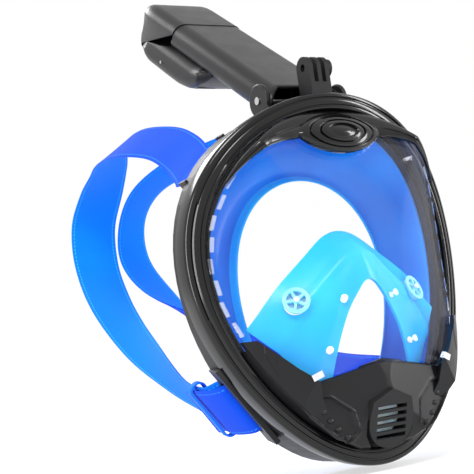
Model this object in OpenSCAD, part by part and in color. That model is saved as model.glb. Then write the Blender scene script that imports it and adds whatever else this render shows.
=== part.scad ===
// Full face snorkel: mask, folding dry-top snorkel and elastic head strap.
// Frame: +Z up, -Y the way the wearer looks, +X the wearer's left, y = 0 the face seal plane.

/* [Mask body] */
// Half width of the front bezel at mid height
rim_w = 103; // [90:1:115]
// Half height of the front bezel
rim_h = 118.5; // [100:0.5:130]
// Height of the bezel's middle above the seal centre
rim_z = -8.5; // [-20:0.5:10]
// How much wider the bezel is at the top
egg = 0.16; // [0:0.01:0.3]
// Radius of the wrap round the face, seen from above
wrap_r = 205; // [150:1:300]
// How far the bezel front stands before the seal plane
front_y = 60; // [50:1:75]
// Width of the bezel face
lip = 11; // [8:0.5:14]
// Wall of the lens
lens_t = 2.4; // [2:0.1:3]
// Wall of the silicone parts
soft_t = 1.8; // [1.5:0.1:2.5]
// Half width of the face opening
face_w = 56; // [50:1:64]
// Half height of the face opening
face_h = 84; // [76:1:92]

/* [Valves] */
// Outer radius of the inhale valve seats
valve_r = 8.6; // [7:0.1:11]
// Outer radius of the drain valve seat
drain_r = 13; // [10:0.5:15]

/* [Camera mount] */
// Bore radius of the three prongs
prong_bore = 2.5; // [2.5:0.05:2.6]
// Width over the three prongs
prong_w = 15.4; // [15.2:0.1:15.6]

/* [Snorkel] */
// Height of the fold hinge
hinge_z = 114; // [112:0.5:118]
// Depth of the fold hinge, before the seal plane
hinge_y = 24; // [20:0.5:30]
// Lean of the tube behind upright
lean = 54; // [40:1:65]
// Width of the tube
tube_w = 58; // [54:1:62]
// Thickness of the tube
tube_t = 21; // [20:1:24]
// Length of the tube from hinge to cap seam
tube_l = 132; // [120:1:150]

/* [Head strap] */
// Width of the webbing
web_w = 38; // [30:1:42]
// Thickness of the webbing
web_t = 1.6; // [1.2:0.1:2]

/* [Hidden] */
$fn = 64;
wrap_y = wrap_r - front_y;
lens_r = 118;
lens_y = 36.9;
screw_a = [28, -8, -66, 152, 188, 246];

function rim(w, h, a) = [w * cos(a) * (1 + egg * sin(a)), rim_z + h * sin(a)];
function wrap_at(x, d) = wrap_y - sqrt(pow(wrap_r - d, 2) - x * x);
function mix(a, b, t) = a * (1 - t) + b * t;
function unit(v) = v / norm(v);

// Egg outline, drawn in x and z
module rim2d(w, h) {
    polygon([for (a = [0:5:355]) rim(w, h, a)]);
}

// Prism of a flat outline between two depths
module deep(y0, y1) {
    translate([0, y1, 0]) rotate([90, 0, 0]) linear_extrude(y1 - y0) children();
}

// Everything behind the wrapped front surface, moved back by d
module behind(d) {
    translate([0, wrap_y, -160]) cylinder(r = wrap_r - d, h = 400, $fn = 200);
}

// Wrapped egg ring: outer and inner outline, from depth d0 to d1 behind the front
module wrap_ring(w1, h1, w0, h0, d0, d1) {
    difference() {
        intersection() {
            deep(-62, 0) difference() {
                rim2d(w1, h1);
                rim2d(w0, h0);
            }
            behind(d0);
        }
        behind(d1);
    }
}

// Closed ring of rings, both ways round
module skin(rings) {
    m = len(rings);
    n = len(rings[0]);
    dots = [for (r = rings) for (q = r) q];
    up = [for (j = [0:m - 1]) for (i = [0:n - 1])
        [j * n + i, j * n + (i + 1) % n, ((j + 1) % m) * n + (i + 1) % n]];
    down = [for (j = [0:m - 1]) for (i = [0:n - 1])
        [j * n + i, ((j + 1) % m) * n + (i + 1) % n, ((j + 1) % m) * n + i]];
    polyhedron(dots, concat(up, down), convexity = 10);
}

// Row of equal outlines joined along a path, closed with flat ends
module sweep(rings) {
    m = len(rings);
    n = len(rings[0]);
    dots = [for (r = rings) for (q = r) q];
    up = [for (j = [0:m - 2]) for (i = [0:n - 1])
        [j * n + i, j * n + (i + 1) % n, (j + 1) * n + (i + 1) % n]];
    down = [for (j = [0:m - 2]) for (i = [0:n - 1])
        [j * n + i, (j + 1) * n + (i + 1) % n, (j + 1) * n + i]];
    first = [for (i = [1:n - 2]) [0, i + 1, i]];
    last = [for (i = [1:n - 2]) [(m - 1) * n, (m - 1) * n + i, (m - 1) * n + i + 1]];
    polyhedron(dots, concat(up, down, first, last), convexity = 10);
}

// Place children at a screw position, axis along y
module at_screw(a) {
    s = rim(rim_w - 8, rim_h - 8, a);
    translate([s[0], wrap_at(s[0], 14.6), s[1]]) rotate([-90, 0, 0]) children();
}

// Clear holes round the bezel's screw bosses
module boss_holes() {
    for (a = screw_a) at_screw(a) translate([0, 0, -20]) cylinder(r = 3.2, h = 17.4);
}

module front_bezel() {
    color("#101012") difference() {
        union() {
            wrap_ring(rim_w, rim_h, rim_w - lip, rim_h - lip, 0, 4.2);
            wrap_ring(rim_w, rim_h, rim_w - 7, rim_h - 7, 4, 11.9);
            difference() {
                for (a = screw_a) at_screw(a) translate([0, 0, -12]) cylinder(r = 2.9, h = 8.6);
                deep(-62, 0) difference() {
                    rim2d(rim_w + 20, rim_h + 20);
                    rim2d(rim_w, rim_h);
                }
                behind(11.85);
            }
        }
        wrap_ring(rim_w - 3.2, rim_h - 3.2, rim_w - 4.4, rim_h - 4.4, -1, 1.2);
        wrap_ring(rim_w - 8.2, rim_h - 8.2, rim_w - 9, rim_h - 9, -1, 0.7);
        for (a = screw_a) at_screw(a) translate([0, 0, -10]) cylinder(r = 1.3, h = 12);
    }
}

module strap_wings() {
    for (s = [-1, 1]) mirror([s < 0 ? 1 : 0, 0, 0]) at_rim(-38, -20) rotate([-14, 0, 0])
        translate([-30, -8, -2.6]) cube([60, 17, 3.4]);
}

module strap_slots() {
    for (s = [-1, 1]) mirror([s < 0 ? 1 : 0, 0, 0]) at_rim(-38, -20) rotate([-14, 0, 0])
        translate([-20.5, -1.5, -10]) cube([41, 6.5, 20]);
}

// Frame on the rim at angle a and depth y: local x along the rim, local z outward
module at_rim(a, y) {
    q = rim(rim_w - 2, rim_h - 2, a);
    v = rim_out(a);
    translate([q[0], y, q[1]]) rotate([0, atan2(v[0], v[2]), 0]) children();
}

module rear_frame() {
    color("#3c3d40") difference() {
        union() {
            wrap_ring(rim_w - 2, rim_h - 2, rim_w - 17, rim_h - 17, 12, 14.6);
            wrap_ring(rim_w - 7.4, rim_h - 7.4, rim_w - 17, rim_h - 17, 8.8, 12.2);
            intersection() {
                deep(-62, -11) difference() {
                    rim2d(rim_w - 2, rim_h - 2);
                    rim2d(rim_w - 4.8, rim_h - 4.8);
                }
                behind(12);
            }
            intersection() {
                strap_wings();
                behind(12.1);
            }
            for (s = [-1, 1]) mirror([s < 0 ? 1 : 0, 0, 0]) at_rim(50, -8) {
                for (e = [-22.5, 20.5]) translate([e, -6, -10.5]) cube([2, 9, 9.5]);
                translate([-21.5, 0, -8]) rotate([0, 90, 0]) cylinder(r = 2, h = 43);
            }
        }
        strap_slots();
        intersection() {
            boss_holes();
            wrap_ring(rim_w, rim_h, rim_w - 17, rim_h - 17, 4, 12.1);
        }
        translate([-tube_w / 2 - 2.5, -41, 97]) cube([tube_w + 5, 45, 30]);
        for (a = screw_a) at_screw(a) {
            translate([0, 0, -4]) cylinder(r = 1.7, h = 8);
            cylinder(r = 3, h = 4);
        }
    }
}

// Dome of the window: grows outward by t
module dome(t) {
    intersection() {
        deep(-100, 0) rim2d(rim_w - lip - 0.6 + t, rim_h - lip - 0.6 + t);
        translate([0, 35.2, -160]) cylinder(r = 115.2 + t, h = 320, $fn = 200);
        translate([-120, 163.6, -5.2]) rotate([0, 90, 0]) cylinder(r = 241.15 + t, h = 240, $fn = 200);
    }
}

// Lower region that belongs to the chin, its top edge lowered by d
module chin_zone(d) {
    deep(-110, 10) polygon([[-120, -40 - d], [-76, -41.5 - d], [-58, -61 - d], [-47, -70.5 - d],
        [0, -62 - d], [47, -70.5 - d], [58, -61 - d], [76, -41.5 - d], [120, -40 - d],
        [120, -150], [-120, -150]]);
}

module lens() {
    color("#cfe4ff", 0.35) difference() {
        union() {
            difference() {
                dome(0);
                behind(6.8);
            }
            wrap_ring(rim_w - 7.6, rim_h - 7.6, rim_w - 15, rim_h - 15, 4.3, 6.8);
        }
        dome(-lens_t);
        chin_zone(5);
        chin_recess();
        boss_holes();
    }
}

module lens_gasket() {
    color("#2a2a2e") difference() {
        wrap_ring(rim_w - 7.8, rim_h - 7.8, rim_w - 15, rim_h - 15, 6.8, 8.8);
        boss_holes();
    }
}

// One outline of the skirt: half width, half height, middle height, depth d at the frame
// blended by s towards the depth e behind it
function soft_ring(w, h, c, d, s, e) = [for (a = [0:10:350])
    let (x = w * cos(a) * (1 + egg * sin(a)))
    [x, mix(wrap_at(x, d), e, s), c + h * sin(a)]];

module face_skirt() {
    color("#1467e8") skin([
        soft_ring(rim_w - 11.2, rim_h - 11.2, rim_z, 14.7, 0, 0),
        soft_ring(rim_w - 18, rim_h - 18, rim_z, 14.7, 0, 0),
        soft_ring(rim_w - 19, rim_h - 19, rim_z, 14.7, 0.35, -2),
        soft_ring(rim_w - 24, rim_h - 23, rim_z - 2, 14.7, 0.72, -2),
        soft_ring(rim_w - 32, rim_h - 28, rim_z - 7, 14.7, 0.93, -2),
        soft_ring(face_w + 7, face_h + 4, -20, 14.7, 1, -3.4),
        soft_ring(face_w + 1.4, face_h + 0.8, -22, 14.7, 1, -9),
        soft_ring(face_w, face_h, -22, 14.7, 1, -8.4),
        soft_ring(face_w + 5.4, face_h + 3, -20.5, 14.7, 1, -2),
        soft_ring(rim_w - 31.5, rim_h - 27.5, rim_z - 7, 14.7, 1, 0),
        soft_ring(rim_w - 23, rim_h - 21.6, rim_z - 2, 14.7, 0.8, 1),
        soft_ring(rim_w - 17.2, rim_h - 17.2, rim_z, 14.7, 0.4, -0.5),
        soft_ring(rim_w - 16.2, rim_h - 16.2, rim_z, 16.8, 0, 0),
        soft_ring(rim_w - 11.2, rim_h - 11.2, rim_z, 16.8, 0, 0)]);
}

// Top edge and front edge of the nose pocket, for one half
top_edge = [[0, -45, 22], [8, -45, 20.6], [16, -45, 16.5], [29, -45, 6.5], [50, -44, -10],
    [65, -40, -26], [73, -38, -34]];
arch_edge = [[0, -72, -12.6], [4, -71.8, -14.2], [8, -71.2, -18.5], [16, -68.6, -30],
    [23, -66, -45], [28, -62, -62], [33, -55, -86]];

function pocket_at(i, s) = let (p = i < 0 ? -i : i, q = mix(top_edge[p], arch_edge[p], s))
    [i < 0 ? -q[0] : q[0], q[1] - 7 * sin(180 * s) * (1 - p / 9), q[2] + 3 * sin(180 * s)];

module pocket_shell() {
    sweep([for (i = [-6:6]) concat(
        [for (s = [0:0.125:1]) pocket_at(i, s)],
        [for (s = [1:-0.125:0]) pocket_at(i, s) + [0, soft_t, -0.5]])]);
}

module nose_pocket() {
    color("#19b2f5") difference() {
        pocket_shell();
        for (s = [-1, 1]) {
            mirror([s < 0 ? 1 : 0, 0, 0]) at_valve() translate([0, 0, -8]) cylinder(r = valve_r - 1, h = 20);
            for (k = [0, 1]) mirror([s < 0 ? 1 : 0, 0, 0]) at_rivet(k) {
                translate([0, 0, -5]) cylinder(r = 1.1, h = 10);
                translate([0, 0, 0.95]) cylinder(r = 2.2, h = 4);
                translate([0, 0, -5.85]) cylinder(r = 2.2, h = 4);
            }
        }
    }
}

// Frame of the left inhale valve, axis out of the pocket
module at_valve() {
    translate([45, -55, -21]) rotate([70, 0, 25]) children();
}

// Frames of the left upper (0) and lower (1) rivet
module at_rivet(k) {
    translate(k == 0 ? [19, -69, -23] : [32, -64.5, -53]) rotate([k == 0 ? 75 : 80, 0, 25]) children();
}

module valve_seat() {
    color("#6fd0ff") {
        difference() {
            union() {
                translate([0, 0, -1.5]) cylinder(r = valve_r - 1.05, h = 3);
                translate([0, 0, 1.4]) cylinder(r = valve_r, h = 1);
            }
            difference() {
                translate([0, 0, -3]) cylinder(r = valve_r - 2.4, h = 6);
                for (k = [0:4]) rotate(k * 72) translate([0, -0.8, -3]) cube([valve_r, 1.6, 6]);
                translate([0, 0, -3]) cylinder(r = 2.2, h = 6);
            }
            translate([0, 0, -3]) cylinder(r = 0.9, h = 6);
        }
    }
}

module valve_flap() {
    color("#dff3ff") {
        translate([0, 0, -2.3]) cylinder(r = valve_r - 1.6, h = 0.7);
        translate([0, 0, -2.3]) cylinder(r = 0.75, h = 6);
        translate([0, 0, 3.5]) cylinder(r = 1.7, h = 0.9);
    }
}

module rivet() {
    color("#e8f6ff") {
        translate([0, 0, -2]) cylinder(r = 0.95, h = 4);
        translate([0, 0, 1]) cylinder(r = 2.1, h = 1.1);
        translate([0, 0, -3.1]) cylinder(r = 2.1, h = 1.2);
    }
}

module frame_screw(a) {
    color("#b8bcc2") at_screw(a) difference() {
        union() {
            translate([0, 0, -9]) cylinder(r = 1.25, h = 9.1);
            cylinder(r = 2.7, h = 1.8);
        }
        translate([-1.9, -0.3, 0.9]) cube([3.8, 0.6, 2]);
        translate([-0.3, -1.9, 0.9]) cube([0.6, 3.8, 2]);
    }
}

// Frame of the drain vent, local z out of the chin
module at_vent() {
    translate([0, -70, -100]) rotate([109.4, 0, 0]) children();
}

module chin_housing() {
    color("#2b2c2f") difference() {
        union() {
            intersection() {
                chin_zone(0);
                difference() {
                    intersection() {
                        dome(3);
                        deep(-100, 0) rim2d(rim_w - lip - 0.6, rim_h - lip - 0.6);
                    }
                    dome(0.05);
                    behind(4);
                }
            }
            intersection() {
                chin_zone(5.3);
                difference() {
                    union() {
                        difference() {
                            dome(0.1);
                            behind(6.8);
                        }
                        wrap_ring(rim_w - 7.6, rim_h - 7.6, rim_w - 15, rim_h - 15, 4.3, 6.8);
                    }
                    dome(-1.2);
                }
            }
            at_vent() translate([0, 0, -16]) cylinder(r = 16.5, h = 9);
        }
        at_vent() translate([0, 0, -30]) cylinder(r = drain_r, h = 40);
        chin_recess();
        boss_holes();
    }
}

// Outline of the chin cover, drawn in by d
module chin_outline(d) {
    polygon([[-46 + d, -71 - d], [0, -60.5 - d], [46 - d, -71 - d], [44 - d, -82],
        [24 - d, -115 + d], [12 - d, -120 + d], [-12 + d, -120 + d], [-24 + d, -115 + d],
        [-44 + d, -82]]);
}

// Roof of the chin cover, drawn in by d
module chin_roof(d) {
    for (s = [0, 1]) mirror([s, 0, 0]) intersection() {
        translate([-60, -3.2, -76.1]) rotate([0, 90, 0]) cylinder(r = 72.4 - d, h = 120, $fn = 200);
        translate([0, -76 + d, 0]) rotate([0, 0, 12]) translate([0, 0, -140]) cube([100, 100, 100]);
    }
}

// Pocket in the housing and the window that the chin cover lies in
module chin_recess() {
    difference() {
        deep(-100, -56) chin_outline(-0.3);
        chin_roof(2.5);
    }
}

module chin_cover() {
    color("#232427") difference() {
        intersection() {
            deep(-100, -30) chin_outline(0);
            chin_roof(0);
        }
        intersection() {
            deep(-100, -30) chin_outline(2.4);
            chin_roof(2.4);
        }
        difference() {
            dome(3.05);
            chin_recess();
        }
        behind(-0.15);
        at_vent() translate([0, 0, -30]) cylinder(r = 17.3, h = 60);
        at_vent() translate([0, 0, -1.3]) linear_extrude(20)
            polygon([[-17.2, 3.6], [-15, 14.3], [0, 21.7], [15, 14.3], [17.2, 3.6]]);
        for (s = [-1, 1]) mirror([s < 0 ? 1 : 0, 0, 0]) {
            deep(-80, -65) polygon([[22, -92], [38, -79], [39, -81], [24, -94]]);
            deep(-80, -65) polygon([[20, -88], [44, -70], [43, -73], [21, -90]]);
        }
    }
}

module chin_vent_cap() {
    color("#303134") at_vent() difference() {
        union() {
            translate([0, 0, -7]) cylinder(r = 16.8, h = 9.5);
            translate([0, 0, -1]) linear_extrude(3.5)
                polygon([[-16.6, 4], [-14.5, 14], [0, 21], [14.5, 14], [16.6, 4]]);
        }
        translate([0, 0, -8]) cylinder(r = 15, h = 8.5);
        for (k = [-2:2]) translate([-11, k * 4.6 - 1.3, -2]) cube([22, 2.6, 8]);
    }
}

module purge_valve_seat() {
    color("#4a4b50") at_vent() difference() {
        union() {
            translate([0, 0, -18]) cylinder(r = drain_r - 0.05, h = 10);
            translate([0, 0, -18]) cylinder(r = drain_r + 2.5, h = 2);
        }
        difference() {
            translate([0, 0, -20]) cylinder(r = drain_r - 1.8, h = 20);
            for (k = [0:5]) rotate(k * 60) translate([0, -0.9, -12]) cube([drain_r, 1.8, 4]);
            translate([0, 0, -12]) cylinder(r = 2.6, h = 4);
        }
        translate([0, 0, -20]) cylinder(r = 1.1, h = 20);
    }
}

module purge_valve_flap() {
    color("#8fd6ff") at_vent() {
        translate([0, 0, -8]) cylinder(r = drain_r - 0.8, h = 0.9);
        translate([0, 0, -14]) cylinder(r = 1, h = 6.5);
        translate([0, 0, -15]) cylinder(r = 1.8, h = 1.2);
    }
}

module chin_clip() {
    color("#c9ccd0") difference() {
        translate([48.6, -72, -66.5]) rotate([12, 20, 24]) cube([7, 5, 4], center = true);
        dome(3.05);
    }
}

// Rounded-end oval, drawn in x and z
module capsule(w, h) {
    square([w - h, h], center = true);
    for (s = [-1, 1]) translate([s * (w - h) / 2, 0]) circle(r = h / 2);
}

// Pointed oval of half width a and half height b
module almond(a, b) {
    r = (a * a + b * b) / (2 * b);
    intersection() {
        translate([0, r - b]) circle(r = r, $fn = 128);
        translate([0, b - r]) circle(r = r, $fn = 128);
    }
}

module brow_cover() {
    color("#0e0e10") difference() {
        union() {
            difference() {
                intersection() {
                    dome(3.2);
                    deep(-100, -30) difference() {
                        rim2d(rim_w - lip - 0.5, rim_h - lip - 0.5);
                        rim2d(96, 96.5);
                    }
                    translate([-100, -100, 45]) cube([200, 100, 80]);
                }
                dome(0.05);
                behind(4);
            }
            difference() {
                deep(-66, -40) translate([0, 85]) almond(30, 15);
                dome(0.05);
                behind(4);
                wrap_ring(rim_w + 2, rim_h + 2, rim_w - lip - 0.3, rim_h - lip - 0.3, -7, 5);
            }
        }
        translate([0, -66, 85]) rotate([90, 0, 0]) translate([0, 0, -2]) linear_extrude(4) capsule(38, 19);
    }
}

module brow_boss() {
    color("#17171a") {
        difference() {
            deep(-67.5, -64) translate([0, 85]) capsule(37.6, 18.6);
            deep(-68, -66.2) translate([0, 85]) difference() {
                capsule(34, 15);
                capsule(29, 11);
            }
        }
        intersection() {
            deep(-71, -66) translate([0, 85]) capsule(23, 9);
            translate([0, -40, 85]) sphere(r = 30);
        }
    }
}

module camera_mount() {
    color("#18181a") difference() {
        union() {
            for (x = [-7.7, -1.55, 4.6]) translate([x, 0, 0]) {
                translate([0, -45, 130]) rotate([0, 90, 0]) cylinder(r = 7.4, h = 3.1);
                translate([0, -52.4, 118]) cube([3.1, 14.8, 12]);
            }
            translate([-7.7, -52.4, 111.5]) cube([15.4, 14.8, 7.6]);
            translate([7.6, -45, 130]) rotate([0, 90, 0]) cylinder(r = 6, h = 4);
            translate([-9, -53.5, 108.6]) cube([18, 17, 3]);
        }
        translate([-9, -45, 130]) rotate([0, 90, 0]) cylinder(r = prong_bore, h = 25);
        translate([8.4, -45, 130]) rotate([0, 90, 0]) cylinder(r = 4.6, h = 4, $fn = 6);
        deep(-62, -30) difference() {
            rim2d(rim_w + 0.02, rim_h + 0.02);
            rim2d(rim_w - 30, rim_h - 30);
        }
    }
}

module camera_nut() {
    color("#c2c6cb") translate([8.4, -45, 130]) rotate([0, 90, 0]) difference() {
        cylinder(r = 4.5, h = 3, $fn = 6);
        translate([0, 0, -1]) cylinder(r = 2.5, h = 6);
    }
}

// Snorkel frame: origin on the fold hinge, local z along the tube, local y to its underside
module at_tube() {
    translate([0, -hinge_y, hinge_z]) rotate([-lean, 0, 0]) children();
}

// Rounded rectangle w by t with corner radius r
module soft_box(w, t, r) {
    square([w - 2 * r, t], center = true);
    square([w, t - 2 * r], center = true);
    for (x = [-1, 1]) for (y = [-1, 1])
        translate([x * (w / 2 - r), y * (t / 2 - r)]) circle(r = r);
}

barrel_r = tube_t / 2;
barrel_l = tube_w - 4;

module snorkel_base() {
    color("#26272a") difference() {
        union() {
            translate([-tube_w / 2 - 2.5, -41, 97]) cube([tube_w + 5, 31, 7.4]);
            translate([-tube_w / 2 - 2.5, -41, 97]) cube([tube_w + 5, 6.5, 15.5]);
            for (s = [-1, 1]) translate([s * (tube_w / 2 + 1) - 1.5, -hinge_y, hinge_z])
                rotate([0, 90, 0]) cylinder(r = 8, h = 3);
            for (s = [-1, 1]) translate([s * (tube_w / 2 + 1) - 1.5, -hinge_y - 8, 100])
                cube([3, 16, hinge_z - 100]);
        }
        translate([-barrel_l / 2 - 1.5, -hinge_y, hinge_z]) rotate([0, 90, 0])
            cylinder(r = barrel_r + 0.6, h = barrel_l + 3);
        translate([0, -hinge_y, 90]) linear_extrude(40) soft_box(barrel_l - 8, 15, 5);
        translate([-9.3, -42, 108.3]) cube([18.6, 5.7, 10]);
        translate([-50, -hinge_y, hinge_z]) rotate([0, 90, 0]) cylinder(r = 1.5, h = 100);
    }
}

module hinge_pin() {
    color("#d0d3d6") translate([-tube_w / 2 - 3.2, -hinge_y, hinge_z]) rotate([0, 90, 0]) {
        cylinder(r = 1.5, h = tube_w + 6.4);
        translate([0, 0, -0.8]) cylinder(r = 2.6, h = 1.4);
        translate([0, 0, tube_w + 5.8]) cylinder(r = 2.6, h = 1.4);
    }
}

module barrel_seal() {
    color("#3a3b3f") difference() {
        translate([0, -hinge_y, 97.5]) linear_extrude(6.7) soft_box(barrel_l - 8.2, 14.8, 5);
        translate([0, -hinge_y, 96]) linear_extrude(12) soft_box(barrel_l - 12, 11, 4);
        translate([-50, -hinge_y, hinge_z]) rotate([0, 90, 0]) cylinder(r = barrel_r + 0.3, h = 100);
    }
}

module snorkel_tube() {
    color("#2f3033") at_tube() difference() {
        union() {
            translate([-barrel_l / 2, 0, 0]) rotate([0, 90, 0]) cylinder(r = barrel_r, h = barrel_l);
            linear_extrude(tube_l) soft_box(tube_w - 2, tube_t, 9);
            translate([0, 0, 11]) linear_extrude(tube_l - 11) soft_box(tube_w, tube_t, 9);
            translate([0, 0, tube_l]) linear_extrude(8) soft_box(tube_w - 4.2, tube_t - 4.2, 7);
        }
        translate([0, 0, 6]) linear_extrude(tube_l + 10) soft_box(tube_w - 8, tube_t - 8, 5);
        translate([0, 0, 0]) linear_extrude(30) soft_box(barrel_l - 12, 9, 4);
        rotate([lean, 0, 0]) translate([0, 0, -20]) linear_extrude(20) soft_box(barrel_l - 14, 9, 4);
        translate([-50, 0, 0]) rotate([0, 90, 0]) cylinder(r = 1.58, h = 100);
        for (s = [-1, 1]) translate([s * tube_w / 2, 0, 0]) cube([2.2, 40, 24], center = true);
    }
}

module tube_divider() {
    color("#55575c") at_tube() {
        for (x = [-10.5, 9]) translate([x, -6.4, 24]) cube([1.5, 12.8, tube_l - 20]);
        translate([-10, -0.75, 24]) cube([20, 1.5, tube_l - 20]);
    }
}

// Side outline of the cap in local y (down the underside) and z, drawn in by d
module cap_side(d) {
    polygon([for (q = [[-11.1, tube_l + 0.2], [-11.1, 188], [-9.5, 194], [-5, 198.5], [2, 200.5],
        [10, 200], [18, 197], [25, 190.5], [30, 181], [33, 170], [34, 156], [34, tube_l + 0.2]])
        [q[0] + (q[0] < 2 ? d : q[0] > 10 ? -d : 0), q[1] - (q[1] > 150 ? d : 0)]]);
}

// Cap body, drawn in by d
module cap_body(d) {
    intersection() {
        translate([-50, 0, 0]) rotate([90, 0, 90]) linear_extrude(100) cap_side(d);
        translate([0, 11.5, 100]) linear_extrude(110) soft_box(tube_w + 1.4 - 2 * d, 45.2 - 2 * d, 9.5);
        translate([0, 60, 0]) rotate([90, 0, 0]) linear_extrude(100)
            translate([0, 108.5]) soft_box(tube_w + 1.4 - 2 * d, 184 - 2 * d, 20);
    }
}

module snorkel_cap() {
    color("#2b2c2f") at_tube() difference() {
        cap_body(0);
        cap_body(2);
        translate([0, 0, 100]) linear_extrude(60) soft_box(tube_w - 4, tube_t - 4, 7.1);
        translate([-22, 12, 120]) cube([44, 19.4, 16]);
        translate([-50, 24, 150]) rotate([0, 90, 0]) cylinder(r = 1.25, h = 100);
    }
}

module inlet_cover() {
    color("#36373a") at_tube() difference() {
        intersection() {
            translate([-50, 0, 0]) rotate([90, 0, 90]) linear_extrude(100)
                polygon([[barrel_r + 0.1, 86], [barrel_r + 2, 84], [22, 92], [28, 101], [31.5, 112],
                    [33.3, 124], [33.6, tube_l], [barrel_r + 0.1, tube_l]]);
            translate([0, 11.5, 70]) linear_extrude(90) soft_box(tube_w - 2, 45, 9.5);
            translate([0, 60, 0]) rotate([90, 0, 0]) linear_extrude(100)
                translate([0, 130]) soft_box(tube_w - 2, 96, 24);
        }
        intersection() {
            translate([-50, 0, 0]) rotate([90, 0, 90]) linear_extrude(100)
                polygon([[barrel_r + 2, 90], [20.4, 94.5], [26, 103], [29.4, 113.5], [31.3, 125],
                    [31.6, tube_l + 1], [barrel_r + 2, tube_l + 1]]);
            translate([0, 11.5, 70]) linear_extrude(90) soft_box(tube_w - 6, 41, 8);
        }
        for (s = [-1, 1]) for (k = [0:2])
            translate([s * 14, 28, 101 + k * 9]) rotate([0, s * 18, 0]) cube([18, 40, 3.4], center = true);
    }
}

module cap_float() {
    color("#dfe2e6") at_tube() difference() {
        union() {
            translate([-13, 14, 146]) cube([26, 15, 18]);
            translate([-13, 24, 150]) rotate([0, 90, 0]) cylinder(r = 3.4, h = 26);
        }
        translate([-50, 24, 150]) rotate([0, 90, 0]) cylinder(r = 1.3, h = 100);
        translate([-11, 16, 155]) cube([22, 11, 7]);
    }
}

module float_seal() {
    color("#1e5fd0") at_tube() translate([-14, 11.4, 146]) cube([28, 2.6, 18]);
}

module float_pin() {
    color("#c9ccd0") at_tube() translate([-tube_w / 2 - 0.6, 24, 150]) rotate([0, 90, 0])
        cylinder(r = 1.2, h = tube_w + 1.2);
}

// Smooth curve through the points p at position u, counted in points
function spline(p, u) = let (
    k = min(floor(u), len(p) - 2), t = u - k,
    a = p[max(k - 1, 0)], b = p[k], c = p[k + 1], d = p[min(k + 2, len(p) - 1)])
    0.5 * ((2 * b) + (c - a) * t + (2 * a - 5 * b + 4 * c - d) * t * t
    + (3 * b - a - 3 * c + d) * t * t * t);

// Outward direction of the rim at angle a
function rim_out(a) = unit([rim_h * cos(a), 0,
    rim_w * (sin(a) * (1 + egg * sin(a)) - egg * cos(a) * cos(a))]);
// A point beside the rim: angle a, depth y, distance n outside the frame wall
function beside(a, y, n) = let (q = rim(rim_w - 2, rim_h - 2, a), v = rim_out(a))
    [q[0] + v[0] * n, y, q[1] + v[2] * n];

// Long edges of the left band between its anchors: inner and outer
inner_edge = [[56.3, 6, 90.8], [49, 34, 106], [45, 70, 121], [47, 119, 132], [38, 170, 134],
    [17, 222, 127], [4, 268, 111], [1.6, 300, 84], [1.6, 303, 50], [9, 271, 18], [26, 214, -7],
    [47, 143, -32], [66, 78, -54], [80, 32, -62.5], [83.7, 6, -65.4]];
outer_edge = [[84.1, 6, 64.9], [76, 33, 80], [74, 66, 97], [77, 112, 109], [69, 168, 115],
    [51, 228, 118], [40, 281, 112], [37, 317, 90], [38, 318, 53], [44, 276, 9], [43, 216, -36],
    [41, 147, -68], [46, 80, -86], [57, 33, -93], [61.4, 6, -96.2]];

// Both edge points of the band beside the rim, and along it from the spline
function pair(a, y, n) = let (q = beside(a, y, n), v = rim_out(a), e = [-v[2], 0, v[0]] * web_w / 2)
    [q + e, q - e];
band_pairs = concat(
    [for (q = [[12, -11.9], [2, -11.9], [-6, -11.9], [-10.8, -10.9], [-12.1, -8.2], [-10.8, -5.5],
        [-6, -4.3]]) pair(50, q[0], q[1])],
    [for (u = [0:0.25:14]) [spline(inner_edge, u), spline(outer_edge, u)]],
    [for (q = [[-4, -4.2], [-11, -6.2], [-16, -5.4], [-19.4, -1.6], [-17.6, 2], [-12, 3.8], [1, 4.6],
        [14, 3.7]]) pair(-38, q[0], q[1])],
    [[[81.6, 30, -66.5], [58.6, 31, -96.3]], [[76.4, 46.7, -67], [54.4, 48.5, -98]]]);

// Four corners of the band at pair k
function band_ring(k) = let (
    q = band_pairs[k], e = band_pairs[max(k - 1, 0)], f = band_pairs[min(k + 1, len(band_pairs) - 1)],
    n = unit(cross(f[0] + f[1] - e[0] - e[1], q[0] - q[1])) * web_t / 2)
    [q[0] + n, q[0] - n, q[1] - n, q[1] + n];

module head_strap() {
    color("#0a84ff") sweep([for (k = [0:len(band_pairs) - 1]) band_ring(k)]);
}

module strap_keeper() {
    color("#0a66d8") translate([71.3, 21.2, -80.4]) rotate([0, atan2(rim_out(-38)[0], rim_out(-38)[2]), 0])
        rotate([-11, 0, 0]) difference() {
            cube([web_w + 6, 7, 12], center = true);
            cube([web_w + 2, 9, 8.6], center = true);
        }
}

front_bezel();
rear_frame();
lens();
lens_gasket();
face_skirt();
nose_pocket();
at_valve() valve_seat();  // pocket_valve_seat_left
mirror([1, 0, 0]) at_valve() valve_seat();  // pocket_valve_seat_right
at_valve() valve_flap();  // pocket_valve_flap_left
mirror([1, 0, 0]) at_valve() valve_flap();  // pocket_valve_flap_right
at_rivet(0) rivet();  // pocket_rivet_upper_left
mirror([1, 0, 0]) at_rivet(0) rivet();  // pocket_rivet_upper_right
at_rivet(1) rivet();  // pocket_rivet_lower_left
mirror([1, 0, 0]) at_rivet(1) rivet();  // pocket_rivet_lower_right
frame_screw(screw_a[0]);  // frame_screw_1
frame_screw(screw_a[1]);  // frame_screw_2
frame_screw(screw_a[2]);  // frame_screw_3
frame_screw(screw_a[3]);  // frame_screw_4
frame_screw(screw_a[4]);  // frame_screw_5
frame_screw(screw_a[5]);  // frame_screw_6
chin_housing();
chin_cover();
chin_vent_cap();
purge_valve_seat();
purge_valve_flap();
mirror([1, 0, 0]) chin_clip();  // chin_clip_left
chin_clip();  // chin_clip_right
brow_cover();
brow_boss();
camera_mount();
camera_nut();
snorkel_base();
hinge_pin();
barrel_seal();
snorkel_tube();
tube_divider();
snorkel_cap();
inlet_cover();
cap_float();
float_seal();
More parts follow.
